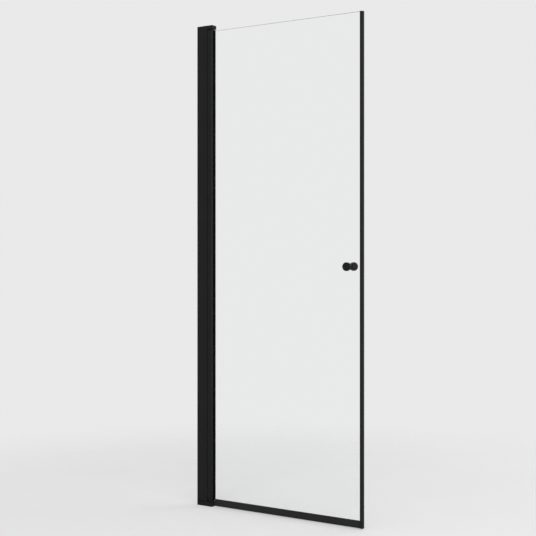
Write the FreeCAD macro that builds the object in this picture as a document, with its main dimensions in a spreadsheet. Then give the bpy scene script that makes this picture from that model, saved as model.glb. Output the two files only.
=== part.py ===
import FreeCAD, Part
import os
import re
import Sketcher

# A hinged shower door: a telescoping upright on the wall, a glass leaf that turns on two pivots and
# rises on a helical cam as it opens, a floor rail, a closing strip with a magnet and a pair of knobs.
# The pivot axis meets the floor at the origin. X runs along the closed leaf to its free edge, Y into
# the shower and Z up. Lengths are millimetres and angles are degrees.

SIZES = {
    # The whole door, closed
    "overall_width": 780,  # wall to free edge
    "overall_height": 2000,
    "upright_depth": 30,
    # Wall profile
    "channel_reach": 40,  # how far its flanges stand off the wall
    "channel_web": 2.4,
    "channel_wall": 2,
    "channel_end_gap": 0.3,  # to the top cap and the base block
    "wall_hole_diameter": 5.5,
    "wall_hole_inset": 150,  # outer holes, from the floor and from the top
    "wall_hole_pitch": 600,  # between the two inner holes
    # Hinge jamb
    "screw_head_room": 4.6,  # behind the tongue, for the heads of the wall screws
    "slide_clearance": 0.3,
    "shoulder_gap": 0.5,
    "jamb_web": 3.6,  # behind the round seat
    "jamb_wall": 2,
    "horn_blunt": 1.5,
    "seat_clearance": 0.6,
    "port_setback": 14.5,  # screw ports, from the shoulder
    "port_spread": 14,
    "rib_thickness": 5,
    # Clamp screws of the jamb
    "adjust_travel": 15,
    "clamp_setback": 10,  # from the back of the tongue
    "clamp_inset": 250,  # outer screws, from the floor and from the top
    "clamp_thread_diameter": 5,
    "clamp_head_diameter": 9.5,
    "clamp_head_height": 2.8,
    "clamp_washer_diameter": 11,
    "clamp_washer_thickness": 1,
    "clamp_nut_width": 8,
    "clamp_nut_thickness": 4,
    "clamp_cover_wall": 1,
    # Top cap and base block
    "cap_height": 15,
    "base_height": 20.5,
    "block_rounding": 0.4,
    "shadow_line_height": 2.6,  # a rebate along the top of the base block
    "shadow_line_depth": 4,
    "shadow_line_inset": 6,  # from the wall
    "spigot_length": 12,
    "spigot_clearance": 0.3,
    "block_screw_diameter": 3.5,
    "block_screw_length": 34,
    "block_screw_head_diameter": 6.6,
    "block_screw_head_height": 2.6,
    "block_screw_sink": 3,  # depth of the head's recess
    "block_screw_socket": 2.5,
    # Pivots
    "journal_diameter": 8,
    "hex_width": 6.8,
    "running_clearance": 0.05,
    "seat_fit": 0.02,  # pieces pushed into a bore
    "bush_diameter": 14,
    "bush_flange_diameter": 18,
    "bush_flange_thickness": 0.8,
    "cup_depth": 14.5,  # of the bottom bush
    "cup_floor": 2,
    "pin_head_diameter": 12,
    "pin_head_height": 2.4,
    "pin_recess_diameter": 13,
    "pin_recess_depth": 5,
    "pin_cover_thickness": 2,
    "pin_grip": 36,  # hexagon held in each post plug
    "pin_end_gap": 0.2,
    # Lift cams
    "opening_angle": 90,
    "opening_rise": 4,
    "head_gap": 1.2,  # left between the open post and the top cap
    "hub_radius": 12.5,  # of the top plug, which rises into the top cap
    "hub_play": 0.4,
    "cam_floor": 2,
    "cam_radius": 14,
    "cam_bore_radius": 5.2,
    "cam_play": 0.2,
    "cam_play_angle": 1.5,
    "cam_peg_diameter": 3,
    "cam_peg_length": 1.7,
    "cam_peg_circle": 9,
    # Hinge post
    "post_setback": 0.3,  # its flat face behind the front of the upright
    "knuckle_swell": 2.1,  # the round of the post beyond its flat faces
    "post_reach": 14.6,  # pivot axis to the side where the glass enters
    "post_wall": 2,
    "post_slot_floor": 7.5,  # bottom of the glass slot, behind the axis
    "post_port_wall": 0.9,
    "plug_flange": 2,
    "plug_floor": 5,  # beyond the hexagon's bore
    "plug_clearance": 0.2,
    "plug_screw_diameter": 3.2,
    "plug_screw_length": 18,
    "plug_screw_head_diameter": 6,
    "plug_screw_head_height": 1.4,
    # Glass and its gasket
    "glass_thickness": 6,
    "glass_bottom": 24,
    "glass_drop": 2.8,  # its top edge, below the top of the post
    "gasket_wall": 1.9,
    "gasket_clearance": 0.1,
    "gasket_lip": 7,  # beyond the post
    "gasket_lip_edge": 0.6,
    "gasket_inset": 2.5,  # its lower end, above the bottom of the glass
    # Bottom rail
    "rail_start": 22.5,  # from the pivot axis
    "rail_thickness": 14,
    "rail_bottom": 5.5,
    "rail_top": 31,
    "rail_wall": 2,
    "rail_rounding": 1.2,
    "rail_gasket_wall": 1.5,
    "rail_gasket_lip": 0.6,
    "seal_slot_width": 4.4,
    "seal_head_width": 8,
    "seal_head_height": 3.6,
    "seal_clearance": 0.2,
    "seal_width": 7,  # across both lips
    "seal_drop": 2.2,  # the lips, below the rail
    "seal_lip": 1.2,
    "rail_cap_thickness": 1.5,
    "rail_cap_tenon": 7,
    # Edge strip
    "strip_width": 12,
    "strip_depth": 14,
    "strip_skin": 1.2,
    "strip_grip": 5.4,  # glass held between its legs
    "strip_rounding": 0.5,
    "strip_bottom": 3.5,
    "strip_cap_thickness": 1.5,
    "strip_cap_tenon": 6,
    "strip_end_gap": 0.2,
    "magnet_clearance": 0.2,
    # Knobs
    "knob_height": 1002,
    "knob_inset": 57,  # from the free edge
    "knob_diameter": 33.5,
    "knob_base_diameter": 25,
    "knob_neck_diameter": 22,
    "knob_length": 31,
    "knob_base_height": 3,
    "knob_head_height": 11,
    "knob_rounding": 1.8,
    "knob_washer_thickness": 1,
    "knob_hole_diameter": 16,  # in the glass
    "stud_diameter": 6,
    "stud_grip": 15,  # in each knob
    "grub_diameter": 4,
    "grub_length": 8,
    "grub_socket": 2,
}

# Sizes and places worked out from those above
DERIVED = {
    "half_depth": "upright_depth / 2",
    "post_half": "half_depth - post_setback",
    "knuckle": "post_half + knuckle_swell",
    "seat": "knuckle + seat_clearance",
    "jamb_shoulder": "-(seat + jamb_web)",
    "channel_mouth": "jamb_shoulder - shoulder_gap",
    "wall_plane": "channel_mouth - channel_reach",
    "free_edge": "wall_plane + overall_width",
    "tongue_half": "half_depth - channel_wall - slide_clearance",
    "tongue_back": "wall_plane + channel_web + screw_head_room",
    "chamber_half": "tongue_half - jamb_wall",
    "horn_tip": "-(sqrt(seat ^ 2 - half_depth ^ 2) + horn_blunt)",
    "port_x": "jamb_shoulder - port_setback",
    "clamp_x": "tongue_back + clamp_setback",
    "clamp_slot_radius": "clamp_thread_diameter / 2 + slide_clearance",
    "cap_underside": "overall_height - cap_height",
    "channel_bottom": "base_height + channel_end_gap",
    "channel_top": "cap_underside - channel_end_gap",
    "block_screw_top": "overall_height - block_screw_sink",
    "journal_radius": "journal_diameter / 2",
    "bush_bore_radius": "journal_radius + running_clearance",
    "hex_bore_width": "hex_width + 2 * running_clearance",
    "hub_height": "opening_rise + head_gap - hub_play",
    "hub_recess": "opening_rise + bush_flange_thickness + hub_play",
    "bush_seat": "cap_underside + hub_recess",
    "bush_length": "cap_height - pin_recess_depth - hub_recess",
    "post_bottom": "base_height + 2 * cam_floor + cam_step",
    "post_top": "cap_underside - opening_rise - head_gap",
    "extrusion_bottom": "post_bottom + plug_flange",
    "extrusion_top": "post_top - plug_flange",
    "cup_bottom": "base_height - cup_depth",
    "bottom_pin_end": "cup_bottom + cup_floor + pin_end_gap",
    "pin_head_seat": "overall_height - pin_recess_depth + pin_end_gap",
    "journal_end": "post_top + opening_rise / 2",
    "cam_pitch": "opening_rise * 360 / opening_angle",
    "cam_step": "cam_pitch / 2",
    "cam_start": "base_height + cam_floor",
    "play_climb": "cam_pitch * cam_play_angle / 360",
    "slot_half": "glass_half + gasket_wall + gasket_clearance",
    "knuckle_inside": "knuckle - post_wall",
    "chamber_inner": "slot_half + post_wall",
    "chamber_outer": "post_half - post_wall",
    "chamber_end": "sqrt(knuckle_inside ^ 2 - chamber_outer ^ 2)",
    "port_y": "(chamber_inner + chamber_outer) / 2",
    "port_half": "plug_screw_diameter / 2 + post_port_wall",
    "plug_length": "pin_grip + opening_rise + plug_floor",
    "plug_half": "slot_half - plug_clearance",
    "plug_end": "post_reach - plug_clearance",
    "notch_height": "plug_length + plug_clearance",
    "glass_top": "post_top - glass_drop",
    "glass_half": "glass_thickness / 2",
    "glass_edge": "free_edge - strip_width + strip_grip",
    "rail_half": "rail_thickness / 2",
    "rail_end": "free_edge - strip_width - strip_end_gap",
    "rail_slot_half": "glass_half + rail_gasket_wall + gasket_clearance",
    "rail_slot_floor": "glass_bottom - rail_gasket_wall - gasket_clearance",
    "seal_slot_top": "rail_bottom + rail_wall + seal_head_height + seal_clearance",
    "strip_half": "strip_depth / 2",
    "strip_inner": "free_edge - strip_width",
    "magnet_inner": "strip_inner + strip_grip + strip_end_gap + strip_skin",
    "magnet_outer": "free_edge - strip_skin",
    "magnet_half": "strip_half - strip_skin",
    "knob_x": "free_edge - knob_inset",
    "knob_seat": "glass_half + knob_washer_thickness",
    "grub_reach": "stud_grip / 2",
}

FUNCTIONS = {"sqrt", "cos", "sin"}

doc = FreeCAD.newDocument("shower_door")
sheet = doc.addObject("Spreadsheet::Sheet", "sizes")
for row, (alias, number) in enumerate(SIZES.items(), start=1):
    sheet.set(f"A{row}", alias.replace("_", " "))
    sheet.set(f"B{row}", str(number))
    sheet.setAlias(f"B{row}", alias)
doc.recompute()

nodes = []


# Formulas

def formula(text):
    """Spell a formula in plain names as one on the cells of the sheet."""

    def spell(match):
        word = match.group()
        if word in FUNCTIONS:
            return word
        if word in DERIVED:
            return f"({formula(DERIVED[word])})"
        return f"sizes.{word}"

    return re.sub(r"[a-z]\w*", spell, str(text))


def value(text):
    """The number that a formula gives now."""
    return float(sheet.evalExpression(formula(text)))


def bind(thing, prop, text):
    thing.setExpression(prop, formula(text))


def place(thing, x="0", y="0", z="0", turn=None):
    """Put a sub-part at a bound place, turned first by a fixed rotation."""
    if turn:
        thing.Placement = FreeCAD.Placement(FreeCAD.Vector(), turn)
    bind(thing, "Placement.Base.x", x)
    bind(thing, "Placement.Base.y", y)
    bind(thing, "Placement.Base.z", z)


# Sketches: a loop is a list of corners, a round or an obround

def corner_loop(sketch, corners):
    """Draw a closed outline of straight lines, with each corner tied to two formulas."""
    first = sketch.GeometryCount
    spots = [FreeCAD.Vector(value(x), value(y), 0) for x, y in corners]
    for here, there in zip(spots, spots[1:] + spots[:1]):
        sketch.addGeometry(Part.LineSegment(here, there))
    for index in range(len(corners)):
        after = (index + 1) % len(corners)
        sketch.addConstraint(Sketcher.Constraint("Coincident", first + index, 2, first + after, 1))
    for index, (x, y) in enumerate(corners):
        tie_point(sketch, first + index, 1, x, y)


def tie_point(sketch, geometry, point, x=None, y=None):
    """Tie a point of the sketch to formulas for its two distances from the sketch's origin."""
    for kind, text in (("DistanceX", x), ("DistanceY", y)):
        if text is None:
            continue
        number = sketch.addConstraint(Sketcher.Constraint(kind, -1, 1, geometry, point, value(text)))
        bind(sketch, f"Constraints[{number}]", text)


def round_loop(sketch, x, y, radius):
    centre = FreeCAD.Vector(value(x), value(y), 0)
    index = sketch.addGeometry(Part.Circle(centre, FreeCAD.Vector(0, 0, 1), value(radius)))
    tie_point(sketch, index, 3, x, y)
    number = sketch.addConstraint(Sketcher.Constraint("Radius", index, value(radius)))
    bind(sketch, f"Constraints[{number}]", radius)


def obround_loop(sketch, start, end, y, radius):
    """Draw a slot along the sketch's first axis, between two end centres."""
    low, high = f"{y} - ({radius})", f"{y} + ({radius})"
    west, east = value(start), value(end)
    bottom, top = value(low), value(high)
    size, level = value(radius), value(y)
    flat_ends = [FreeCAD.Vector(across, bottom, 0) for across in (west, east)]
    flat = sketch.addGeometry(Part.LineSegment(*flat_ends))
    right = sketch.addGeometry(
        Part.Arc(
            FreeCAD.Vector(east, bottom, 0), FreeCAD.Vector(east + size, level, 0), FreeCAD.Vector(east, top, 0)
        )
    )
    roof = sketch.addGeometry(Part.LineSegment(FreeCAD.Vector(east, top, 0), FreeCAD.Vector(west, top, 0)))
    left = sketch.addGeometry(
        Part.Arc(
            FreeCAD.Vector(west, top, 0), FreeCAD.Vector(west - size, level, 0), FreeCAD.Vector(west, bottom, 0)
        )
    )
    for one, two in ((flat, right), (right, roof), (roof, left), (left, flat)):
        sketch.addConstraint(Sketcher.Constraint("Coincident", one, 2, two, 1))
    tie_point(sketch, flat, 1, start, low)
    tie_point(sketch, flat, 2, end, low)
    tie_point(sketch, roof, 1, end, high)
    tie_point(sketch, roof, 2, start, high)
    tie_point(sketch, right, 3, end)
    tie_point(sketch, left, 3, start)


def box_loop(x0, x1, y0, y1):
    return [(x0, y0), (x1, y0), (x1, y1), (x0, y1)]


def hexagon_loop(width):
    """A hexagon about the sketch's origin with two flats square to its second axis."""
    tip = f"({width}) / (2 * cos(30))"
    flat = f"({width}) / 2"
    shoulder = f"{tip} / 2"
    return [
        (tip, "0"), (shoulder, flat), (f"-{shoulder}", flat),
        (f"-{tip}", "0"), (f"-{shoulder}", f"-{flat}"), (shoulder, f"-{flat}"),
    ]


def draw(body, plane, loops, offset="0", swing=None):
    """Draw closed loops in a sketch on one of the body's own planes.

    The sketch is moved along its normal by the offset, or swung about its own second axis.
    """
    sketch = body.newObject("Sketcher::SketchObject", f"{body.Name}_sketch")
    support = next(item for item in body.Origin.OriginFeatures if item.Role == plane)
    sketch.AttachmentSupport = [(support, "")]
    sketch.MapMode = "FlatFace"
    if swing:
        turn = FreeCAD.Rotation(FreeCAD.Vector(0, 1, 0), value(swing))
        sketch.AttachmentOffset = FreeCAD.Placement(FreeCAD.Vector(), turn)
        bind(sketch, "AttachmentOffset.Rotation.Angle", swing)
    bind(sketch, "AttachmentOffset.Base.z", offset)
    for loop in loops:
        if isinstance(loop, list):
            corner_loop(sketch, loop)
        elif len(loop) == 3:
            round_loop(sketch, *loop)
        else:
            obround_loop(sketch, *loop)
    doc.recompute()
    return sketch


# Features

def pad(body, plane, loops, length, offset="0", backwards=False):
    feature = body.newObject("PartDesign::Pad", f"{body.Name}_pad")
    feature.Profile = draw(body, plane, loops, offset)
    bind(feature, "Length", length)
    feature.Reversed = backwards
    doc.recompute()
    return feature


def pocket(body, plane, loops, length=None, offset="0", backwards=False):
    """Cut the loops away from the body, right through where no length is given."""
    before = body.Shape.Volume
    feature = body.newObject("PartDesign::Pocket", f"{body.Name}_pocket")
    feature.Profile = draw(body, plane, loops, offset)
    if length is None:
        feature.Type = "ThroughAll"
    else:
        bind(feature, "Length", length)
    feature.Reversed = backwards
    doc.recompute()
    if not body.Shape.Volume < before:
        raise RuntimeError(f"{feature.Name} cuts nothing")
    return feature


def turned(body, corners, plane="XZ_Plane"):
    """Turn an outline of (radius, height) corners about the body's own Z axis."""
    profile = draw(body, plane, [corners])
    feature = body.newObject("PartDesign::Revolution", f"{body.Name}_turned")
    feature.Profile = profile
    feature.ReferenceAxis = (profile, ["V_Axis"])
    feature.Angle = 360
    doc.recompute()
    return feature


def soften(body, radius, wanted):
    """Round the edges of the body that the test picks out."""
    base = body.Tip
    names = [f"Edge{number}" for number, edge in enumerate(base.Shape.Edges, start=1) if wanted(edge)]
    feature = body.newObject("PartDesign::Fillet", f"{body.Name}_rounding")
    feature.Base = (base, names)
    bind(feature, "Radius", radius)
    doc.recompute()
    return feature


def helical_cut(body, loop, climb, swing=None):
    """Cut the sweep of a radial outline that climbs along the cam's helix, clockwise seen from above."""
    before = body.Shape.Volume
    profile = draw(body, "XZ_Plane", [loop], swing=swing)
    feature = body.newObject("PartDesign::SubtractiveHelix", f"{body.Name}_ramp")
    feature.Profile = profile
    feature.ReferenceAxis = (profile, ["V_Axis"])
    feature.Mode = "pitch-height-angle"
    feature.LeftHanded = True
    bind(feature, "Pitch", "cam_pitch")
    bind(feature, "Height", climb)
    doc.recompute()
    if not body.Shape.Volume < before:
        raise RuntimeError(f"{feature.Name} cuts nothing")


def new_body(label):
    body = doc.addObject("PartDesign::Body", label)
    body.Label = label
    return body


def keep(thing):
    """List a finished sub-part for writing."""
    nodes.append(thing)
    return thing


def group(label, members):
    """Gather identical pieces in one sub-part of separate solids."""
    compound = doc.addObject("Part::Compound", label)
    compound.Label = label
    compound.Links = members
    doc.recompute()
    return keep(compound)


def at_height(level):
    """A test for edges that lie flat at one height."""
    height = value(level)
    return lambda edge: abs(edge.BoundBox.ZMin - height) < 1e-3 and abs(edge.BoundBox.ZMax - height) < 1e-3


TO_FRONT = FreeCAD.Rotation(FreeCAD.Vector(1, 0, 0), 90)
TO_FLOOR = FreeCAD.Rotation(FreeCAD.Vector(1, 0, 0), 180)
TO_REAR = FreeCAD.Rotation(FreeCAD.Vector(0, 0, 1), 180) * TO_FRONT
SIGNS = ("", "-")
CLAMP_HEIGHTS = ("clamp_inset", "overall_height / 2", "overall_height - clamp_inset")
PORT_SIDES = ("-port_spread / 2", "port_spread / 2")


# Wall profile: a channel with screw holes in its web and clamp slots in its rear flange

wall_profile = keep(new_body("wall_profile"))
web_face = "wall_plane + channel_web"
flange_inside = "half_depth - channel_wall"
pad(
    wall_profile, "XY_Plane",
    [[
        ("wall_plane", "-half_depth"), ("channel_mouth", "-half_depth"),
        ("channel_mouth", f"-({flange_inside})"), (web_face, f"-({flange_inside})"),
        (web_face, flange_inside), ("channel_mouth", flange_inside),
        ("channel_mouth", "half_depth"), ("wall_plane", "half_depth"),
    ]],
    "channel_top - channel_bottom", "channel_bottom",
)
wall_hole_heights = (
    "wall_hole_inset",
    "(overall_height - wall_hole_pitch) / 2",
    "(overall_height + wall_hole_pitch) / 2",
    "overall_height - wall_hole_inset",
)
pocket(wall_profile, "YZ_Plane", [("0", height, "wall_hole_diameter / 2") for height in wall_hole_heights])
pocket(
    wall_profile, "XZ_Plane",
    [("clamp_x", "clamp_x + adjust_travel", height, "clamp_slot_radius") for height in CLAMP_HEIGHTS],
)


# Hinge jamb: a tongue in the channel and a head with a round seat for the post

hinge_jamb = keep(new_body("hinge_jamb"))
jamb_outline = [
    ("tongue_back", "-tongue_half"), ("jamb_shoulder", "-tongue_half"), ("jamb_shoulder", "-half_depth"),
    ("horn_tip", "-half_depth"), ("horn_tip", "half_depth"), ("jamb_shoulder", "half_depth"),
    ("jamb_shoulder", "tongue_half"), ("tongue_back", "tongue_half"),
]
nut_chamber = box_loop(
    "tongue_back + jamb_wall", "port_x - rib_thickness / 2", "-chamber_half", "chamber_half"
)
seat_chamber = box_loop("port_x + rib_thickness / 2", "jamb_shoulder", "-chamber_half", "chamber_half")
screw_ports = [("port_x", side, "block_screw_diameter / 2") for side in PORT_SIDES]
pad(
    hinge_jamb, "XY_Plane", [jamb_outline, nut_chamber, seat_chamber, *screw_ports],
    "cap_underside - base_height", "base_height",
)
pocket(hinge_jamb, "XY_Plane", [("0", "0", "seat")], backwards=True)
pocket(
    hinge_jamb, "XZ_Plane",
    [("clamp_x", height, "clamp_thread_diameter / 2 + seat_fit") for height in CLAMP_HEIGHTS],
)


# Clamp screws on the shower side, each with a washer, a nut inside the tongue and a cover

def clamp_pieces(index, height):
    """One clamp screw, washer, nut and cover, built along the outward direction from the flange."""
    screw = new_body(f"clamp_screw_{index}")
    thread = "clamp_thread_diameter / 2"
    head_foot = "clamp_washer_thickness"
    head_top = f"{head_foot} + clamp_head_height"
    nut_face = "-(half_depth - chamber_half)"
    tip = f"{nut_face} - clamp_nut_thickness"
    turned(screw, [
        ("0", tip), (thread, tip), (thread, head_foot), ("clamp_head_diameter / 2", head_foot),
        ("clamp_head_diameter / 2", head_top), ("0", head_top),
    ])
    pocket(screw, "XY_Plane", [hexagon_loop("clamp_thread_diameter / 2")], "clamp_head_height / 2", head_top)
    washer = new_body(f"clamp_washer_{index}")
    hole = f"{thread} + slide_clearance"
    turned(washer, box_loop(hole, "clamp_washer_diameter / 2", "0", "clamp_washer_thickness"))
    nut = new_body(f"clamp_nut_{index}")
    pad(
        nut, "XY_Plane", [hexagon_loop("clamp_nut_width"), ("0", "0", f"{thread} + seat_fit")],
        "clamp_nut_thickness", nut_face, backwards=True,
    )
    cover = new_body(f"clamp_cover_{index}")
    inner = "clamp_washer_diameter / 2 + slide_clearance"
    outer = f"{inner} + clamp_cover_wall"
    roof = f"{head_top} + slide_clearance"
    turned(cover, [
        (inner, "slide_clearance"), (outer, "slide_clearance"), (outer, roof),
        (inner, f"{roof} + clamp_cover_wall"), ("0", f"{roof} + clamp_cover_wall"),
        ("0", roof), (inner, roof),
    ])
    for piece in (screw, washer, nut, cover):
        place(piece, "clamp_x", "half_depth", height, TO_REAR)
    return screw, washer, nut, cover


clamp_sets = [clamp_pieces(index, height) for index, height in enumerate(CLAMP_HEIGHTS)]
for label, members in zip(
    ("clamp_screws", "clamp_washers", "clamp_nuts", "clamp_covers"), zip(*clamp_sets)
):
    group(label, list(members))


# Top cap and base block: solid ends of the upright that hold the pivots

def end_block(label, inner_face, outer_face, height, upwards):
    """A block as wide and deep as the upright, with a spigot into the jamb and sunk screw holes."""
    body = keep(new_body(label))
    outline = box_loop("wall_plane", "post_reach", "-half_depth", "half_depth")
    pad(body, "XY_Plane", [outline], height, inner_face, backwards=not upwards)
    at_outside = at_height(outer_face)
    free_end = value("post_reach")

    def seen(edge):
        upright = edge.BoundBox.ZLength > value(height) / 2 and abs(edge.BoundBox.XMin - free_end) < 1e-3
        return upright or (upwards and at_outside(edge))

    soften(body, "block_rounding", seen)
    spigot = box_loop(
        "tongue_back + jamb_wall + spigot_clearance", "port_x - rib_thickness / 2 - spigot_clearance",
        "spigot_clearance - chamber_half", "chamber_half - spigot_clearance",
    )
    pad(body, "XY_Plane", [spigot], "spigot_length", inner_face, backwards=upwards)
    holes = [("port_x", side, "block_screw_diameter / 2 + seat_fit") for side in PORT_SIDES]
    sinks = [("port_x", side, "block_screw_head_diameter / 2 + spigot_clearance") for side in PORT_SIDES]
    pocket(body, "XY_Plane", holes, height, outer_face, backwards=not upwards)
    pocket(body, "XY_Plane", sinks, "block_screw_sink", outer_face, backwards=not upwards)
    return body


def block_screws(label, level, turn=None):
    """The two screws that hold an end block on the jamb, heads outwards."""
    members = []
    for index, side in enumerate(PORT_SIDES):
        screw = new_body(f"{label}_{index}")
        thread = "block_screw_diameter / 2 - seat_fit"
        head = "block_screw_head_diameter / 2"
        turned(screw, [
            ("0", "-block_screw_length"), (thread, "-block_screw_length + block_screw_diameter"), (thread, "0"),
            (head, "0"), (head, "block_screw_head_height / 2"), (thread, "block_screw_head_height"),
            ("0", "block_screw_head_height"),
        ])
        pocket(
            screw, "XY_Plane", [hexagon_loop("block_screw_socket")],
            "block_screw_head_height / 2", "block_screw_head_height",
        )
        place(screw, "port_x", side, level, turn)
        members.append(screw)
    group(label, members)


top_cap = end_block("top_cap", "cap_underside", "overall_height", "cap_height", upwards=True)
hub_room = ("0", "0", "hub_radius + hub_play")
bush_bore = ("0", "0", "bush_diameter / 2 + seat_fit")
pocket(top_cap, "XY_Plane", [hub_room], "hub_recess", "cap_underside", backwards=True)
pocket(top_cap, "XY_Plane", [bush_bore], "bush_length", "bush_seat", backwards=True)
pocket(top_cap, "XY_Plane", [("0", "0", "pin_recess_diameter / 2")], "pin_recess_depth", "overall_height")
block_screws("top_cap_screws", "block_screw_top")

base_block = end_block("base_block", "base_height", "0", "base_height", upwards=False)
pocket(base_block, "XY_Plane", [bush_bore], "cup_depth", "base_height")
peg_holes = [(f"{sign}cam_peg_circle", "0", "cam_peg_diameter / 2 + running_clearance") for sign in SIGNS]
pocket(base_block, "XY_Plane", peg_holes, "cam_peg_length + pin_end_gap", "base_height")
rebates = [
    box_loop(
        "wall_plane + shadow_line_inset", "post_reach",
        f"{sign}(half_depth - shadow_line_depth)", f"{sign}half_depth",
    )
    for sign in SIGNS
]
pocket(base_block, "XY_Plane", rebates, "shadow_line_height", "base_height")
block_screws("base_screws", "block_screw_sink", TO_FLOOR)


# Bushes and pivot pins: the round journals turn in the bushes, the hexagons turn with the post

top_bush = keep(new_body("top_bush"))
turned(top_bush, [
    ("bush_bore_radius", "-bush_flange_thickness"), ("bush_flange_diameter / 2", "-bush_flange_thickness"),
    ("bush_flange_diameter / 2", "0"), ("bush_diameter / 2", "0"),
    ("bush_diameter / 2", "bush_length"), ("bush_bore_radius", "bush_length"),
])
place(top_bush, z="bush_seat")

bottom_bush = keep(new_body("bottom_bush"))
turned(bottom_bush, [
    ("0", "0"), ("bush_diameter / 2", "0"), ("bush_diameter / 2", "cup_depth"),
    ("bush_bore_radius", "cup_depth"), ("bush_bore_radius", "cup_floor"), ("0", "cup_floor"),
])
place(bottom_bush, z="cup_bottom")

top_pivot_pin = keep(new_body("top_pivot_pin"))
pin_head_top = "pin_head_seat + pin_head_height"
turned(top_pivot_pin, [
    ("0", "journal_end"), ("journal_radius", "journal_end"), ("journal_radius", "pin_head_seat"),
    ("pin_head_diameter / 2", "pin_head_seat"), ("pin_head_diameter / 2", pin_head_top), ("0", pin_head_top),
])
pad(
    top_pivot_pin, "XY_Plane", [hexagon_loop("hex_width")], "journal_end - post_top + pin_grip", "journal_end",
    backwards=True,
)

top_pin_cover = keep(new_body("top_pin_cover"))
cover_radius = "pin_recess_diameter / 2 - seat_fit"
cover_underside = "overall_height - pin_cover_thickness"
turned(top_pin_cover, box_loop("0", cover_radius, cover_underside, "overall_height"))

bottom_pivot_pin = keep(new_body("bottom_pivot_pin"))
turned(bottom_pivot_pin, box_loop("0", "journal_radius", "bottom_pin_end", "cam_start"))
hex_length = "post_bottom + pin_grip - cam_start"
pad(bottom_pivot_pin, "XY_Plane", [hexagon_loop("hex_width")], hex_length, "cam_start")


# Lift cams: two half turns of a helix, so that the leaf climbs as it opens and sinks as it closes

def cam_ring(label, low, high, peg_level, pegs_up):
    """A ring between two heights, with two pegs that key it to its seat."""
    body = keep(new_body(label))
    pad(body, "XY_Plane", [("0", "0", "cam_radius"), ("0", "0", "cam_bore_radius")], f"{high} - ({low})", low)
    pegs = [(f"{sign}cam_peg_circle", "0", "cam_peg_diameter / 2") for sign in SIGNS]
    pad(body, "XY_Plane", pegs, "cam_peg_length", peg_level, backwards=not pegs_up)
    return body


cam_inside = "cam_bore_radius - cam_play"
cam_outside = "cam_radius + cam_play"
cam_crest = "cam_start + cam_step"

# Each ramp of the lower cam starts early by the play angle, so that its step stays clear of the upper cam
lower_lift_cam = cam_ring("lower_lift_cam", "base_height", cam_crest, "base_height", pegs_up=False)
for sign in SIGNS:
    above_ramp = box_loop(
        f"{sign}({cam_inside})", f"{sign}({cam_outside})", "cam_start - play_climb", f"{cam_crest} + cam_play"
    )
    helical_cut(lower_lift_cam, above_ramp, "cam_step + play_climb", "cam_play_angle")

upper_lift_cam = cam_ring("upper_lift_cam", "cam_start", "post_bottom", "post_bottom", pegs_up=True)
for sign in SIGNS:
    below_ramp = box_loop(
        f"{sign}({cam_inside})", f"{sign}({cam_outside})",
        "cam_start - cam_step - cam_play", "cam_start + cam_play",
    )
    helical_cut(upper_lift_cam, below_ramp, "cam_step")


# Hinge post: a round extrusion with three flats, a slot for the glass and hollow chambers

def flatten(body, radius, half, reach):
    """Cut the front, rear and glass-side flats on a round of the given radius."""
    beyond = f"2 * ({radius})"
    slabs = [box_loop(f"-{beyond}", beyond, f"{sign}({half})", f"{sign}{beyond}") for sign in SIGNS]
    pocket(body, "XY_Plane", slabs, backwards=True)
    pocket(body, "XY_Plane", [box_loop(reach, beyond, f"-{beyond}", beyond)], backwards=True)


hinge_post = keep(new_body("hinge_post"))
pad(hinge_post, "XY_Plane", [("0", "0", "knuckle")], "extrusion_top - extrusion_bottom", "extrusion_bottom")
flatten(hinge_post, "knuckle", "post_half", "post_reach")
glass_slot = box_loop("-post_slot_floor", "2 * knuckle", "-slot_half", "slot_half")
knuckle_chamber = box_loop(
    "-sqrt(knuckle_inside ^ 2 - slot_half ^ 2)", "-(post_slot_floor + post_wall)", "-slot_half", "slot_half"
)
side_chambers = [
    box_loop(f"{along}port_half", f"{along}chamber_end", f"{across}chamber_inner", f"{across}chamber_outer")
    for along in SIGNS
    for across in SIGNS
]
plug_ports = [("0", f"{sign}port_y", "plug_screw_diameter / 2") for sign in SIGNS]
pocket(hinge_post, "XY_Plane", [glass_slot, knuckle_chamber, *side_chambers, *plug_ports], backwards=True)


# Post plugs: each closes one end of the post and takes the hexagon of a pivot pin

plug_sinks = [("0", f"{sign}port_y", "plug_screw_head_diameter / 2 + plug_clearance") for sign in SIGNS]


def post_plug(label, face, upwards, bore_depth):
    """A flange on the end of the post and a block in its slot, with screw holes and a hexagonal bore."""
    body = keep(new_body(label))
    disc = "knuckle - plug_clearance"
    pad(body, "XY_Plane", [("0", "0", disc)], "plug_flange", face, backwards=upwards)
    flatten(body, disc, "post_half - plug_clearance", "plug_end")
    block = box_loop("plug_clearance - post_slot_floor", "plug_end", "-plug_half", "plug_half")
    pad(body, "XY_Plane", [block], "plug_length", face, backwards=upwards)
    pocket(body, "XY_Plane", [hexagon_loop("hex_bore_width")], bore_depth, face, backwards=not upwards)
    holes = [("0", f"{sign}port_y", "plug_screw_diameter / 2 + seat_fit") for sign in SIGNS]
    pocket(body, "XY_Plane", holes, "plug_flange", face, backwards=not upwards)
    pocket(body, "XY_Plane", plug_sinks, "plug_screw_head_height", face, backwards=not upwards)
    return body


# The top plug has a round hub, open over its screws, that fills the gap below the top cap
top_post_plug = post_plug("top_post_plug", "post_top", True, "pin_grip + opening_rise + pin_end_gap")
pad(top_post_plug, "XY_Plane", [("0", "0", "hub_radius")], "hub_height", "post_top")
hub_top = "post_top + hub_height"
pocket(top_post_plug, "XY_Plane", plug_sinks, "hub_height", hub_top)
journal_room = [("0", "0", "journal_radius + plug_clearance")]
pocket(top_post_plug, "XY_Plane", journal_room, "hub_height + opening_rise", hub_top)

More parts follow.
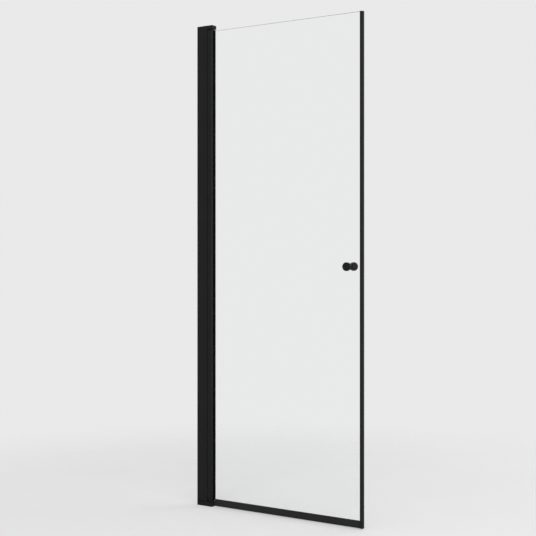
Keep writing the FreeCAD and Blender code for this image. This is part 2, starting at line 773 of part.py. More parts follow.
bottom_post_plug = post_plug("bottom_post_plug", "post_bottom", False, "pin_grip + pin_end_gap")
pocket(
    bottom_post_plug, "XY_Plane", peg_holes, "cam_peg_length + pin_end_gap", "post_bottom", backwards=True,
)

plug_screws = []
for face, turn in (("post_top", None), ("post_bottom", TO_FLOOR)):
    for sign in SIGNS:
        screw = new_body("plug_screw")
        thread = "plug_screw_diameter / 2 - seat_fit"
        head = "plug_screw_head_diameter / 2"
        turned(screw, [
            ("0", "-plug_screw_length"), (thread, "plug_screw_diameter - plug_screw_length"),
            (thread, "-plug_screw_head_height"), (head, "-plug_screw_head_height"), (head, "0"), ("0", "0"),
        ])
        pocket(screw, "XY_Plane", [hexagon_loop("plug_screw_diameter / 2")], "plug_screw_head_height / 2")
        place(screw, "0", f"{sign}port_y", face, turn)
        plug_screws.append(screw)
group("post_plug_screws", plug_screws)


# Glass pane: two corners are cut back to the post's side for its plugs, and one hole takes the knobs

glass_pane = keep(new_body("glass_pane"))
glass_outline = [
    ("post_reach", "glass_bottom"), ("glass_edge", "glass_bottom"),
    ("glass_edge", "glass_top"), ("post_reach", "glass_top"),
    ("post_reach", "post_top - notch_height"), ("0", "post_top - notch_height"),
    ("0", "post_bottom + notch_height"), ("post_reach", "post_bottom + notch_height"),
]
knob_hole = ("knob_x", "knob_height", "knob_hole_diameter / 2")
pad(glass_pane, "XZ_Plane", [glass_outline, knob_hole], "glass_thickness", "glass_half", backwards=True)


# Glass gasket: a soft channel on the glass in the post's slot, with a lip on each face outside it

glass_gasket = keep(new_body("glass_gasket"))
gasket_half = "glass_half + gasket_wall"
lip_end = "post_reach + gasket_lip"
gasket_outline = [
    ("-gasket_wall", f"-({gasket_half})"), ("post_reach", f"-({gasket_half})"),
    (lip_end, "-(glass_half + gasket_lip_edge)"), (lip_end, "-glass_half"), ("0", "-glass_half"),
    ("0", "glass_half"), (lip_end, "glass_half"), (lip_end, "glass_half + gasket_lip_edge"),
    ("post_reach", gasket_half), ("-gasket_wall", gasket_half),
]
gasket_bottom = "glass_bottom + gasket_inset"
pad(glass_gasket, "XY_Plane", [gasket_outline], f"post_top - ({gasket_bottom})", gasket_bottom)
plug_room = [
    box_loop("-2 * gasket_wall", "post_reach", low, high)
    for low, high in (
        ("0", "post_bottom + notch_height"),
        ("post_top - notch_height", "overall_height"),
    )
]
pocket(glass_gasket, "XZ_Plane", plug_room, offset="half_depth")


# Bottom rail with its gasket, drip seal and end caps, all drawn as sections across the leaf

rail_body_start = "rail_start + rail_cap_thickness"
rail_body_end = "rail_end - rail_cap_thickness"
rail_body_length = f"{rail_body_end} - ({rail_body_start})"
rail_crown = [
    ("rail_half", "rail_top"), ("rail_slot_half", "rail_top"), ("rail_slot_half", "rail_slot_floor"),
    ("-rail_slot_half", "rail_slot_floor"), ("-rail_slot_half", "rail_top"), ("-rail_half", "rail_top"),
]
seal_head_room = "seal_head_width / 2 + seal_clearance"
seal_ledge = "rail_bottom + rail_wall"
rail_outline = [
    ("-rail_half", "rail_bottom"),
    ("-seal_slot_width / 2", "rail_bottom"), ("-seal_slot_width / 2", seal_ledge),
    (f"-({seal_head_room})", seal_ledge), (f"-({seal_head_room})", "seal_slot_top"),
    (seal_head_room, "seal_slot_top"), (seal_head_room, seal_ledge),
    ("seal_slot_width / 2", seal_ledge), ("seal_slot_width / 2", "rail_bottom"),
    ("rail_half", "rail_bottom"),
    *rail_crown,
]


def rail_cavity(clearance):
    """The closed chamber of the rail, or what fits in it with a clearance."""
    side = f"rail_half - rail_wall - {clearance}"
    floor = f"seal_slot_top + rail_wall + {clearance}"
    roof = f"rail_slot_floor - rail_wall - {clearance}"
    return box_loop(f"-({side})", side, floor, roof)


bottom_rail = keep(new_body("bottom_rail"))
pad(bottom_rail, "YZ_Plane", [rail_outline, rail_cavity("0")], rail_body_length, rail_body_start)


def rail_corner(edge):
    """A test for the long outer edges of the rail."""
    box = edge.BoundBox
    outer = abs(abs(box.YMin) - value("rail_half")) < 1e-3 and box.YLength < 1e-3
    return outer and box.ZLength < 1e-3


soften(bottom_rail, "rail_rounding", rail_corner)

rail_gasket = keep(new_body("rail_gasket"))
gasket_side = "glass_half + rail_gasket_wall"
gasket_underside = "glass_bottom - rail_gasket_wall"
gasket_crown = "rail_top + rail_gasket_lip"
pad(
    rail_gasket, "YZ_Plane",
    [[
        (f"-({gasket_side})", gasket_underside), (gasket_side, gasket_underside),
        (gasket_side, "rail_top"), ("glass_half", gasket_crown), ("glass_half", "glass_bottom"),
        ("-glass_half", "glass_bottom"), ("-glass_half", gasket_crown), (f"-({gasket_side})", "rail_top"),
    ]],
    rail_body_length, rail_body_start,
)

drip_seal = keep(new_body("drip_seal"))
seal_head = "seal_head_width / 2"
seal_stem = "seal_slot_width / 2 - seal_clearance"
seal_roof = "rail_bottom - seal_clearance"
seal_outer = "seal_width / 2"
seal_tip = "rail_bottom - seal_drop"
right_side = [
    (seal_head, f"{seal_ledge} + seal_head_height"), (seal_head, seal_ledge), (seal_stem, seal_ledge),
    (seal_stem, seal_roof), (seal_outer, seal_roof), (seal_outer, seal_tip),
    (f"{seal_outer} - seal_lip", seal_tip), (f"{seal_outer} - 2 * seal_lip", f"{seal_roof} - seal_lip"),
]
left_side = [(f"-({across})", height) for across, height in reversed(right_side)]
pad(drip_seal, "YZ_Plane", [right_side + left_side], rail_body_length, rail_body_start)

rail_caps = []
rail_cap_outline = [("-rail_half", "rail_bottom"), ("rail_half", "rail_bottom"), *rail_crown]
for start, inwards in ((rail_body_start, True), (rail_body_end, False)):
    cap = new_body("rail_cap")
    pad(cap, "YZ_Plane", [rail_cap_outline], "rail_cap_thickness", start, backwards=inwards)
    pad(cap, "YZ_Plane", [rail_cavity("plug_clearance")], "rail_cap_tenon", start, backwards=not inwards)
    rail_caps.append(cap)
group("rail_end_caps", rail_caps)


# Edge strip: a clip on the glass with a chamber for the magnet, closed at both ends

strip_slot_floor = "strip_inner + strip_grip + strip_end_gap"
strip_outline = [
    ("strip_inner", "-strip_half"), ("free_edge", "-strip_half"), ("free_edge", "strip_half"),
    ("strip_inner", "strip_half"), ("strip_inner", "glass_half"), (strip_slot_floor, "glass_half"),
    (strip_slot_floor, "-glass_half"), ("strip_inner", "-glass_half"),
]
strip_body_bottom = "strip_bottom + strip_cap_thickness"
strip_body_top = "glass_top - strip_cap_thickness"


def magnet_section(clearance):
    """The magnet's chamber, or what fits in it with a clearance."""
    side = f"magnet_half - {clearance}"
    return box_loop(f"magnet_inner + {clearance}", f"magnet_outer - {clearance}", f"-({side})", side)


def outer_corner(edge):
    """A test for the upright edges along the free side of the strip."""
    box = edge.BoundBox
    outer = abs(abs(box.YMin) - value("strip_half")) < 1e-3
    return outer and abs(box.XMin - value("free_edge")) < 1e-3 and box.XLength + box.YLength < 1e-3


edge_strip = keep(new_body("edge_strip"))
pad(
    edge_strip, "XY_Plane", [strip_outline, magnet_section("0")],
    f"{strip_body_top} - ({strip_body_bottom})", strip_body_bottom,
)
soften(edge_strip, "strip_rounding", outer_corner)

strip_caps = []
for level, at_top in ((strip_body_top, True), (strip_body_bottom, False)):
    cap = new_body("strip_cap")
    pad(cap, "XY_Plane", [strip_outline], "strip_cap_thickness", level, backwards=not at_top)
    soften(cap, "strip_rounding", outer_corner)
    pad(cap, "XY_Plane", [magnet_section("magnet_clearance")], "strip_cap_tenon", level, backwards=at_top)
    strip_caps.append(cap)
group("strip_end_caps", strip_caps)

magnet_bar = keep(new_body("magnet_bar"))
magnet_bottom = f"{strip_body_bottom} + strip_cap_tenon + magnet_clearance"
magnet_top = f"{strip_body_top} - strip_cap_tenon - magnet_clearance"
pad(
    magnet_bar, "XY_Plane", [magnet_section("magnet_clearance")],
    f"{magnet_top} - ({magnet_bottom})", magnet_bottom,
)


# Knobs: one on each face, drawn together through the glass by a stud

def knob(label, side, turn):
    """A turned knob with a bore for the stud and a hole for its grub screw, built outwards from the glass."""
    body = keep(new_body(label))
    base = "knob_base_diameter / 2"
    neck = "knob_neck_diameter / 2"
    head = "knob_diameter / 2"
    neck_height = "knob_base_height + (knob_base_diameter - knob_neck_diameter) / 2"
    turned(body, [
        ("0", "0"), (base, "0"), (base, "knob_base_height"), (neck, neck_height),
        (head, "knob_length - knob_head_height"), (head, "knob_length"), ("0", "knob_length"),
    ])
    rim = value(head)

    def head_rim(edge):
        across = edge.BoundBox.XLength / 2
        return abs(across - rim) < 1e-3 and edge.BoundBox.ZLength < 1e-3

    soften(body, "knob_rounding", head_rim)
    bore = [("0", "0", "stud_diameter / 2 + seat_fit")]
    pocket(body, "XY_Plane", bore, "stud_grip + pin_end_gap", backwards=True)
    pocket(body, "XZ_Plane", [("0", "grub_reach", "grub_diameter / 2 + seat_fit")], backwards=True)
    place(body, "knob_x", f"{side}knob_seat", "knob_height", turn)


knob("front_knob", "-", TO_FRONT)
knob("rear_knob", "", TO_REAR)

knob_stud = keep(new_body("knob_stud"))
stud_end = "knob_seat + stud_grip"
turned(knob_stud, box_loop("0", "stud_diameter / 2", f"-({stud_end})", stud_end))
place(knob_stud, "knob_x", "0", "knob_height", TO_FRONT)

knob_sleeve = keep(new_body("knob_sleeve"))
stud_room = "stud_diameter / 2 + running_clearance"
sleeve_radius = "knob_hole_diameter / 2 - running_clearance"
turned(knob_sleeve, box_loop(stud_room, sleeve_radius, "-glass_half", "glass_half"))
place(knob_sleeve, "knob_x", "0", "knob_height", TO_FRONT)

knob_washers = []
grub_screws = []
for side, turn in (("-", TO_FRONT), ("", TO_REAR)):
    washer = new_body("knob_washer")
    turned(washer, box_loop(stud_room, "knob_base_diameter / 2", "0", "knob_washer_thickness"))
    place(washer, "knob_x", f"{side}glass_half", "knob_height", turn)
    knob_washers.append(washer)
    grub = new_body("grub_screw")
    turned(grub, box_loop("0", "grub_diameter / 2", "stud_diameter / 2 + seat_fit", "grub_length"))
    pocket(grub, "XY_Plane", [hexagon_loop("grub_socket")], "grub_length / 4", "grub_length")
    place(grub, "knob_x", f"{side}(knob_seat + grub_reach)", "knob_height", TO_FLOOR)
    grub_screws.append(grub)
group("knob_washers", knob_washers)
group("knob_grub_screws", grub_screws)


# Checks, then one file for each sub-part

doc.recompute()
failed = [item.Name for item in doc.Objects if {"Invalid", "Error"} & set(item.State)]
if failed:
    raise RuntimeError(f"not built: {', '.join(failed)}")
for node in nodes:
    if node.Shape.isNull() or not node.Shape.isValid() or not node.Shape.Solids:
        raise RuntimeError(f"{node.Label} is not a sound solid")

os.makedirs("parts", exist_ok=True)
for node in nodes:
    node.Shape.exportStep(f"parts/{node.Label}.step")
print(f"{len(nodes)} sub-parts written")
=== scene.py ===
"""Looks of the shower door: soft edges, finishes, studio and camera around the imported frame."""

import logging
import math
from abc import ABC, abstractmethod
from collections.abc import Callable, Iterator
from contextlib import contextmanager
from dataclasses import dataclass, field
from enum import Enum

import bpy
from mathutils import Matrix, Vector


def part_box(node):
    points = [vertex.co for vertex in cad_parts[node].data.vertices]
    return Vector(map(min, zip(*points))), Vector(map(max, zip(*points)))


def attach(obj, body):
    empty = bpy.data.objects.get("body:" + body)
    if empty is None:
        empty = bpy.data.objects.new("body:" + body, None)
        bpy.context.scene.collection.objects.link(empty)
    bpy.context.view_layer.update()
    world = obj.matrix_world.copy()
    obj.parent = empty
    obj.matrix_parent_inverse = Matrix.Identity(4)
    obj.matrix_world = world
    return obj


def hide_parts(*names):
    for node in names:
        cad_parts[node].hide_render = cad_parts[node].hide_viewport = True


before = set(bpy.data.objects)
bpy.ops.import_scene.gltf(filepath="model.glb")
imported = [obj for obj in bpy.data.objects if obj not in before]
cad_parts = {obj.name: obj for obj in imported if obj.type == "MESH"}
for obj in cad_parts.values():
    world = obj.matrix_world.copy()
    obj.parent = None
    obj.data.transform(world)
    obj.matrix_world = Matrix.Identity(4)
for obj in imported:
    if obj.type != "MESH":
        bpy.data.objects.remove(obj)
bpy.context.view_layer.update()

MM = 0.001
MICRON = 1e-6

Colour = tuple[float, float, float]
Place = tuple[float, float, float]
Span = tuple[float, float]
Socket = bpy.types.NodeSocket

log = logging.getLogger("shower_door")


class Body(str, Enum):
    """The rigid groups of the door."""

    WALL_CHANNEL = "wall_channel"
    JAMB = "jamb_unit"
    PIVOTS = "pivots"
    LEAF = "door_leaf"


class Slot(str, Enum):
    """The record's material slots."""

    PROFILE = "black_profile"
    GLASS = "clear_glass"
    PLASTIC = "black_plastic"
    RUBBER = "black_rubber"
    KNOB = "black_knob"
    STEEL = "steel"
    ACETAL = "white_acetal"
    MAGNET = "magnet"


class Grain(Enum):
    """Which way a finish runs: the factors stretch a pattern's X, Y and Z."""

    EVEN = (1.0, 1.0, 1.0)
    UPRIGHT = (1.0, 1.0, 0.004)
    ALONG_LEAF = (0.004, 1.0, 1.0)


class Curve(str, Enum):
    """How a value runs from one end of a range to the other."""

    STRAIGHT = "LINEAR"
    SOFT = "SMOOTHSTEP"


@dataclass(frozen=True)
class Pattern:
    """A noise pattern: features per metre, finer octaves, and how far it raises the surface in metres."""

    scale: float
    detail: float
    height: float = 0.0


class Graph:
    """A node tree that is laid out afresh, with short calls for what materials and the world share."""

    def __init__(self, tree: bpy.types.NodeTree) -> None:
        """Take a node tree and empty it.

        Args:
            tree: The tree of a material or of the world.
        """
        self.tree = tree
        self.tree.nodes.clear()

    def add(self, kind: str, **settings: object) -> bpy.types.Node:
        """Add a node.

        Args:
            kind: The node's type name.
            settings: Properties to set on the node.

        Returns:
            The new node.
        """
        node = self.tree.nodes.new(kind)
        for key, setting in settings.items():
            setattr(node, key, setting)
        return node

    def link(self, start: Socket, end: Socket) -> None:
        """Join two sockets."""
        self.tree.links.new(start, end)

    def remap(self, amount: Socket, source: Span, result: Span, curve: Curve = Curve.STRAIGHT) -> Socket:
        """Map one range to another, with the ends held beyond it.

        Args:
            amount: The value to map.
            source: The range that it comes from.
            result: The range that it goes to.
            curve: How it runs between the ends.

        Returns:
            The mapped value.
        """
        node = self.add("ShaderNodeMapRange", interpolation_type=curve.value)
        for name, number in zip(("From Min", "From Max", "To Min", "To Max"), (*source, *result)):
            node.inputs[name].default_value = number
        self.link(amount, node.inputs["Value"])
        return node.outputs["Result"]

    def choose(self, flag: Socket, chosen: Socket | float, otherwise: Socket | float) -> Socket:
        """Choose between two values.

        Args:
            flag: One for the first value, nought for the second.
            chosen: The first value.
            otherwise: The second value.

        Returns:
            The value that the flag picks.
        """
        node = self.add("ShaderNodeMix")
        self.link(flag, node.inputs["Factor"])
        for name, amount in (("A", otherwise), ("B", chosen)):
            if isinstance(amount, float):
                node.inputs[name].default_value = amount
            else:
                self.link(amount, node.inputs[name])
        return node.outputs["Result"]

    def mixed(self, share: Socket, first: Socket, second: Socket) -> Socket:
        """Mix two shaders.

        Args:
            share: How much of the second shader there is, from 0 to 1.
            first: One shader.
            second: The other shader.

        Returns:
            The mixed shader.
        """
        node = self.add("ShaderNodeMixShader")
        self.link(share, node.inputs["Fac"])
        self.link(first, node.inputs[1])
        self.link(second, node.inputs[2])
        return node.outputs["Shader"]


class Shader(Graph):
    """A material's nodes around one main shader."""

    MIDDLE = (0.3, 0.7)

    def __init__(self, name: str) -> None:
        """Start a material with one main shader.

        Args:
            name: The material's name.
        """
        self.material = bpy.data.materials.new(name)
        self.material.use_nodes = True
        super().__init__(self.material.node_tree)
        self.output = self.add("ShaderNodeOutputMaterial")
        self.main = self.add("ShaderNodeBsdfPrincipled")
        self.link(self.main.outputs["BSDF"], self.output.inputs["Surface"])
        coordinates = self.add("ShaderNodeTexCoord")
        self.place = coordinates.outputs["Object"]
        self.facing = coordinates.outputs["Normal"]

    def set(self, **values: object) -> None:
        """Set sockets of the main shader, with underscores for the spaces in their names."""
        for key, number in values.items():
            self.main.inputs[key.replace("_", " ")].default_value = number

    def centred(self, centre: Place) -> Socket:
        """Count the object's coordinates from a point.

        Args:
            centre: The point in metres.

        Returns:
            The coordinates.
        """
        mapping = self.add("ShaderNodeMapping")
        mapping.inputs["Location"].default_value = tuple(-part for part in centre)
        self.link(self.place, mapping.inputs["Vector"])
        return mapping.outputs["Vector"]

    def noise(self, pattern: Pattern, grain: Grain = Grain.EVEN) -> Socket:
        """Add a noise pattern in the object's own space, and raise the surface by its height.

        Args:
            pattern: The pattern.
            grain: The direction that it is drawn out in.

        Returns:
            The pattern's value from 0 to 1.
        """
        mapping = self.add("ShaderNodeMapping")
        mapping.inputs["Scale"].default_value = grain.value
        self.link(self.place, mapping.inputs["Vector"])
        noise = self.add("ShaderNodeTexNoise")
        noise.inputs["Scale"].default_value = pattern.scale
        noise.inputs["Detail"].default_value = pattern.detail
        self.link(mapping.outputs["Vector"], noise.inputs["Vector"])
        if pattern.height:
            self.emboss(noise.outputs["Fac"], pattern.height)
        return noise.outputs["Fac"]

    def tint(self, pattern: Socket, dark: Colour, bright: Colour, span: Span = (0.35, 0.65)) -> None:
        """Vary the base colour by a pattern.

        Args:
            pattern: A value from 0 to 1.
            dark: The colour where the pattern is low.
            bright: The colour where the pattern is high.
            span: Where the change starts and ends.
        """
        ramp = self.add("ShaderNodeValToRGB")
        for stop, position, colour in zip(ramp.color_ramp.elements, span, (dark, bright)):
            stop.position = position
            stop.color = (*colour, 1.0)
        self.link(pattern, ramp.inputs["Fac"])
        self.link(ramp.outputs["Color"], self.main.inputs["Base Color"])

    def roughen(self, pattern: Socket, roughness: Span) -> None:
        """Vary the roughness over the middle of a pattern, where most of its values lie."""
        self.link(self.remap(pattern, self.MIDDLE, roughness), self.main.inputs["Roughness"])

    def emboss(self, pattern: Socket, height: float) -> None:
        """Raise the surface by a pattern, on top of what is raised already.

        Args:
            pattern: A value from 0 to 1.
            height: How far its bright end stands out, in metres.
        """
        bump = self.add("ShaderNodeBump")
        bump.inputs["Strength"].default_value = 1.0
        bump.inputs["Distance"].default_value = height
        self.link(pattern, bump.inputs["Height"])
        normal = self.main.inputs["Normal"]
        for earlier in normal.links:
            self.link(earlier.from_socket, bump.inputs["Normal"])
        self.link(bump.outputs["Normal"], normal)


class Finish(ABC):
    """A finish that dresses pieces with one material."""

    name: str
    slot: Slot

    @abstractmethod
    def paint(self, shader: Shader) -> None:
        """Lay out the finish's nodes.

        Args:
            shader: The new material.
        """

    def material(self) -> bpy.types.Material:
        """Give the finish's material, which is made at its first use.

        Returns:
            The material.
        """
        made = bpy.data.materials.get(self.name)
        if made is None:
            shader = Shader(self.name)
            self.paint(shader)
            made = shader.material
        return made


@dataclass(frozen=True)
class PowderCoat(Finish):
    """Matt powder coat on an extrusion: a fine orange peel over faint die lines."""

    name: str
    grain: Grain
    slot: Slot = Slot.PROFILE
    dark: Colour = (0.003, 0.003, 0.0032)
    bright: Colour = (0.0044, 0.0044, 0.0046)
    gloss: float = 0.17
    roughness: Span = (0.38, 0.5)
    cloud: Pattern = Pattern(9.0, 4.0)
    die_lines: Pattern = Pattern(900.0, 2.0, 6 * MICRON)
    peel: Pattern = Pattern(1500.0, 2.0, 24 * MICRON)
    pigment: Pattern = Pattern(5200.0, 1.0, 6 * MICRON)

    def paint(self, shader: Shader) -> None:
        """Lay out the coat's nodes.

        Args:
            shader: The new material.
        """
        shader.tint(shader.noise(self.cloud), self.dark, self.bright)
        shader.noise(self.die_lines, self.grain)
        shader.roughen(shader.noise(self.peel), self.roughness)
        shader.noise(self.pigment)
        shader.set(Specular_IOR_Level=self.gloss)


@dataclass(frozen=True)
class Moulding(Finish):
    """Black moulded plastic with a fine eroded texture."""

    name: str = "moulded_black"
    slot: Slot = Slot.PLASTIC
    dark: Colour = (0.0046, 0.0046, 0.0048)
    bright: Colour = (0.0062, 0.0062, 0.0064)
    gloss: float = 0.14
    roughness: Span = (0.5, 0.66)
    flow: Pattern = Pattern(14.0, 3.0)
    texture: Pattern = Pattern(3600.0, 3.0, 16 * MICRON)

    def paint(self, shader: Shader) -> None:
        """Lay out the plastic's nodes.

        Args:
            shader: The new material.
        """
        shader.tint(shader.noise(self.flow), self.dark, self.bright)
        shader.roughen(shader.noise(self.texture), self.roughness)
        shader.set(Specular_IOR_Level=self.gloss)


@dataclass(frozen=True)
class SealRubber(Finish):
    """Extruded black rubber: matt, with faint drawing lines."""

    name: str
    grain: Grain
    slot: Slot = Slot.RUBBER
    dark: Colour = (0.0016, 0.0016, 0.0016)
    bright: Colour = (0.0028, 0.0028, 0.0028)
    gloss: float = 0.05
    roughness: Span = (0.62, 0.78)
    bloom: Pattern = Pattern(30.0, 4.0)
    drawn_lines: Pattern = Pattern(1600.0, 2.0, 12 * MICRON)

    def paint(self, shader: Shader) -> None:
        """Lay out the rubber's nodes.

        Args:
            shader: The new material.
        """
        bloom = shader.noise(self.bloom)
        shader.tint(bloom, self.dark, self.bright)
        shader.roughen(bloom, self.roughness)
        shader.noise(self.drawn_lines, self.grain)
        shader.set(Specular_IOR_Level=self.gloss)


@dataclass(frozen=True)
class KnobLacquer(Finish):
    """Satin black lacquer over turned metal, with faint rings about the knob's axis."""

    centre: Place
    name: str = "satin_lacquer"
    slot: Slot = Slot.KNOB
    dark: Colour = (0.0044, 0.0044, 0.0046)
    bright: Colour = (0.006, 0.006, 0.0062)
    gloss: float = 0.13
    roughness: Span = (0.3, 0.4)
    cloud: Pattern = Pattern(60.0, 3.0)
    mist: Pattern = Pattern(2600.0, 2.0, 5 * MICRON)
    ring_scale: float = 420.0
    ring_wobble: float = 0.4
    ring_height: float = 3 * MICRON

    def paint(self, shader: Shader) -> None:
        """Lay out the lacquer's nodes.

        Args:
            shader: The new material.
        """
        rings = shader.add("ShaderNodeTexWave", wave_type="RINGS", rings_direction="Y", wave_profile="SIN")
        rings.inputs["Scale"].default_value = self.ring_scale
        rings.inputs["Distortion"].default_value = self.ring_wobble
        shader.link(shader.centred(self.centre), rings.inputs["Vector"])
        shader.emboss(rings.outputs["Fac"], self.ring_height)
        shader.tint(shader.noise(self.cloud), self.dark, self.bright)
        shader.roughen(shader.noise(self.mist), self.roughness)
        shader.set(Specular_IOR_Level=self.gloss)


@dataclass(frozen=True)
class TurnedSteel(Finish):
    """Stainless steel with a fine even grain."""

    name: str = "turned_steel"
    slot: Slot = Slot.STEEL
    dark: Colour = (0.5, 0.5, 0.51)
    bright: Colour = (0.64, 0.64, 0.65)
    roughness: Span = (0.24, 0.38)
    stain: Pattern = Pattern(120.0, 3.0)
    fine: Pattern = Pattern(4200.0, 2.0, 3 * MICRON)

    def paint(self, shader: Shader) -> None:
        """Lay out the steel's nodes.

        Args:
            shader: The new material.
        """
        shader.tint(shader.noise(self.stain), self.dark, self.bright)
        shader.roughen(shader.noise(self.fine), self.roughness)
        shader.set(Metallic=1.0)


@dataclass(frozen=True)
class Acetal(Finish):
    """Slippery off-white acetal."""

    name: str = "natural_acetal"
    slot: Slot = Slot.ACETAL
    dark: Colour = (0.74, 0.73, 0.69)
    bright: Colour = (0.82, 0.81, 0.78)
    roughness: Span = (0.28, 0.4)
    flow: Pattern = Pattern(90.0, 3.0)
    fine: Pattern = Pattern(2400.0, 2.0, 4 * MICRON)

    def paint(self, shader: Shader) -> None:
        """Lay out the acetal's nodes.

        Args:
            shader: The new material.
        """
        shader.tint(shader.noise(self.flow), self.dark, self.bright)
        shader.roughen(shader.noise(self.fine), self.roughness)


@dataclass(frozen=True)
class BondedMagnet(Finish):
    """Rubber-bonded magnet: dark and grainy."""

    name: str = "bonded_magnet"
    slot: Slot = Slot.MAGNET
    dark: Colour = (0.028, 0.026, 0.024)
    bright: Colour = (0.062, 0.057, 0.052)
    roughness: Span = (0.55, 0.75)
    powder: Pattern = Pattern(3000.0, 4.0, 15 * MICRON)

    def paint(self, shader: Shader) -> None:
        """Lay out the magnet's nodes.

        Args:
            shader: The new material.
        """
        powder = shader.noise(self.powder)
        shader.tint(powder, self.dark, self.bright)
        shader.roughen(powder, self.roughness)


@dataclass(frozen=True)
class ClearGlass(Finish):
    """Toughened glass: a trace of roller wave, ground edges painted darker as shade, and green along the
    sheet.
    """

    name: str = "toughened_glass"
    slot: Slot = Slot.GLASS
    face: Colour = (1.0, 1.0, 1.0)
    # Painted shade: the ground edges get a darker grey-green for the dark look that light trapped in the
    # sheet gives them, with a touch of the glass's own green.
    edge: Colour = (0.3, 0.34, 0.33)
    painted_shade_to_face: Span = (0.8, 0.97)
    green: tuple[float, float, float, float] = (0.42, 0.86, 0.7, 1.0)
    absorption: float = 3.2
    index: float = 1.5
    roughness: Span = (0.0, 0.003)
    wave: Pattern = Pattern(7.0, 1.0, 40 * MICRON)
    haze: Pattern = Pattern(24.0, 4.0)

    def paint(self, shader: Shader) -> None:
        """Lay out the glass's nodes, which let the lamps' light straight through.

        Args:
            shader: The new material.
        """
        shader.noise(self.wave)
        shader.roughen(shader.noise(self.haze), self.roughness)
        parts = shader.add("ShaderNodeSeparateXYZ")
        shader.link(shader.facing, parts.inputs["Vector"])
        flatness = shader.add("ShaderNodeMath", operation="ABSOLUTE")
        shader.link(parts.outputs["Y"], flatness.inputs[0])
        # Paint shade on the ground edges: the colour turns darker where the faces turn away from the sheet's
        # flat sides.
        shader.tint(flatness.outputs["Value"], self.edge, self.face, self.painted_shade_to_face)
        shader.set(Transmission_Weight=1.0, IOR=self.index)
        rays = shader.add("ShaderNodeLightPath")
        clear = shader.add("ShaderNodeBsdfTransparent").outputs["BSDF"]
        surface = shader.mixed(rays.outputs["Is Shadow Ray"], shader.main.outputs["BSDF"], clear)
        shader.link(surface, shader.output.inputs["Surface"])
        depth = shader.add("ShaderNodeVolumeAbsorption")
        depth.inputs["Color"].default_value = self.green
        depth.inputs["Density"].default_value = self.absorption
        shader.link(depth.outputs["Volume"], shader.output.inputs["Volume"])


UPRIGHT_COAT = PowderCoat("coat_on_uprights", Grain.UPRIGHT)
# Painted light: the rail's coat is a lighter copy of the uprights' coat, standing in for the brighter light
# that falls on the rail; its grain along the leaf is real.
RAIL_COAT_PAINTED_LIGHTER = PowderCoat(
    "coat_on_rail_painted_lighter", Grain.ALONG_LEAF,
    dark=(0.0072, 0.0072, 0.0074), bright=(0.0092, 0.0092, 0.0094), gloss=0.23,
)
PLASTIC = Moulding()
# Painted light: the strip's plastic is a lighter copy of the black plastic with less gloss, standing in for
# the light that falls on the strip.
STRIP_PLASTIC_PAINTED_LIGHTER = Moulding(
    "extruded_strip_painted_lighter", dark=(0.0125, 0.0125, 0.0128), bright=(0.0152, 0.0152, 0.0155), gloss=0.07,
)
UPRIGHT_SEAL = SealRubber("seal_on_post", Grain.UPRIGHT)
RAIL_SEAL = SealRubber("seal_on_rail", Grain.ALONG_LEAF)
SOFT_WASHER = SealRubber("washer_rubber", Grain.EVEN)
STEEL = TurnedSteel()
ACETAL = Acetal()
MAGNET = BondedMagnet()
GLASS = ClearGlass()


class Bench:
    """Modelling by hand: selection, edit mode and applied modifiers."""

    MERGE = 2 * MICRON
    FLAT_ANGLE = math.radians(0.5)
    SHARP_ANGLE = math.radians(40.0)

    @staticmethod
    def select_only(piece: bpy.types.Object) -> None:
        """Deselect everything, then select one object and make it active.

        Args:
            piece: The object.
        """
        bpy.ops.object.select_all(action="DESELECT")
        piece.select_set(True)
        bpy.context.view_layer.objects.active = piece

    @staticmethod
    @contextmanager
    def editing(piece: bpy.types.Object) -> Iterator[None]:
        """Work on one object in edit mode, by faces.

        Args:
            piece: The object.

        Returns:
            A context that leaves edit mode at its end.
        """
        Bench.select_only(piece)
        bpy.ops.object.mode_set(mode="EDIT")
        bpy.ops.mesh.select_mode(type="FACE")
        yield
        bpy.ops.object.mode_set(mode="OBJECT")

    @staticmethod
    def pick_faces(piece: bpy.types.Object, wanted: Callable[[bpy.types.MeshPolygon], bool]) -> None:
        """Select the faces that a test picks, in edit mode.

        Args:
            piece: The object in edit mode.
            wanted: A test of one face.
        """
        bpy.ops.mesh.select_all(action="DESELECT")
        bpy.ops.object.mode_set(mode="OBJECT")
        for face in piece.data.polygons:
            face.select = wanted(face)
        bpy.ops.object.mode_set(mode="EDIT")

    @staticmethod
    def copy_of(node: str, name: str) -> bpy.types.Object:
        """Copy a node of the frame as a clean mesh of flat faces.

        Args:
            node: The node to copy.
            name: The new piece's name.

        Returns:
            The new piece.
        """
        piece = bpy.data.objects.new(name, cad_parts[node].data.copy())
        bpy.context.scene.collection.objects.link(piece)
        piece.data.materials.clear()
        Bench.select_only(piece)
        bpy.ops.mesh.customdata_custom_splitnormals_clear()
        with Bench.editing(piece):
            bpy.ops.mesh.select_all(action="SELECT")
            bpy.ops.mesh.remove_doubles(threshold=Bench.MERGE)
            bpy.ops.mesh.dissolve_limited(angle_limit=Bench.FLAT_ANGLE)
        return piece

    @staticmethod
    def soften(piece: bpy.types.Object, width: float, segments: int = 2) -> None:
        """Round every sharp edge of a piece and keep the shading of its flat faces even.

        Args:
            piece: The piece to finish.
            width: The rounding's width in metres.
            segments: Steps across the rounding.
        """
        Bench.select_only(piece)
        bevel = piece.modifiers.new("soft_edges", "BEVEL")
        bevel.width = width
        bevel.segments = segments
        bevel.limit_method = "ANGLE"
        bevel.angle_limit = Bench.SHARP_ANGLE
        bpy.ops.object.modifier_apply(modifier=bevel.name)
        bpy.ops.object.shade_smooth_by_angle(angle=Bench.SHARP_ANGLE)
        level = piece.modifiers.new("level_faces", "WEIGHTED_NORMAL")
        level.keep_sharp = True
        bpy.ops.object.modifier_apply(modifier=level.name)


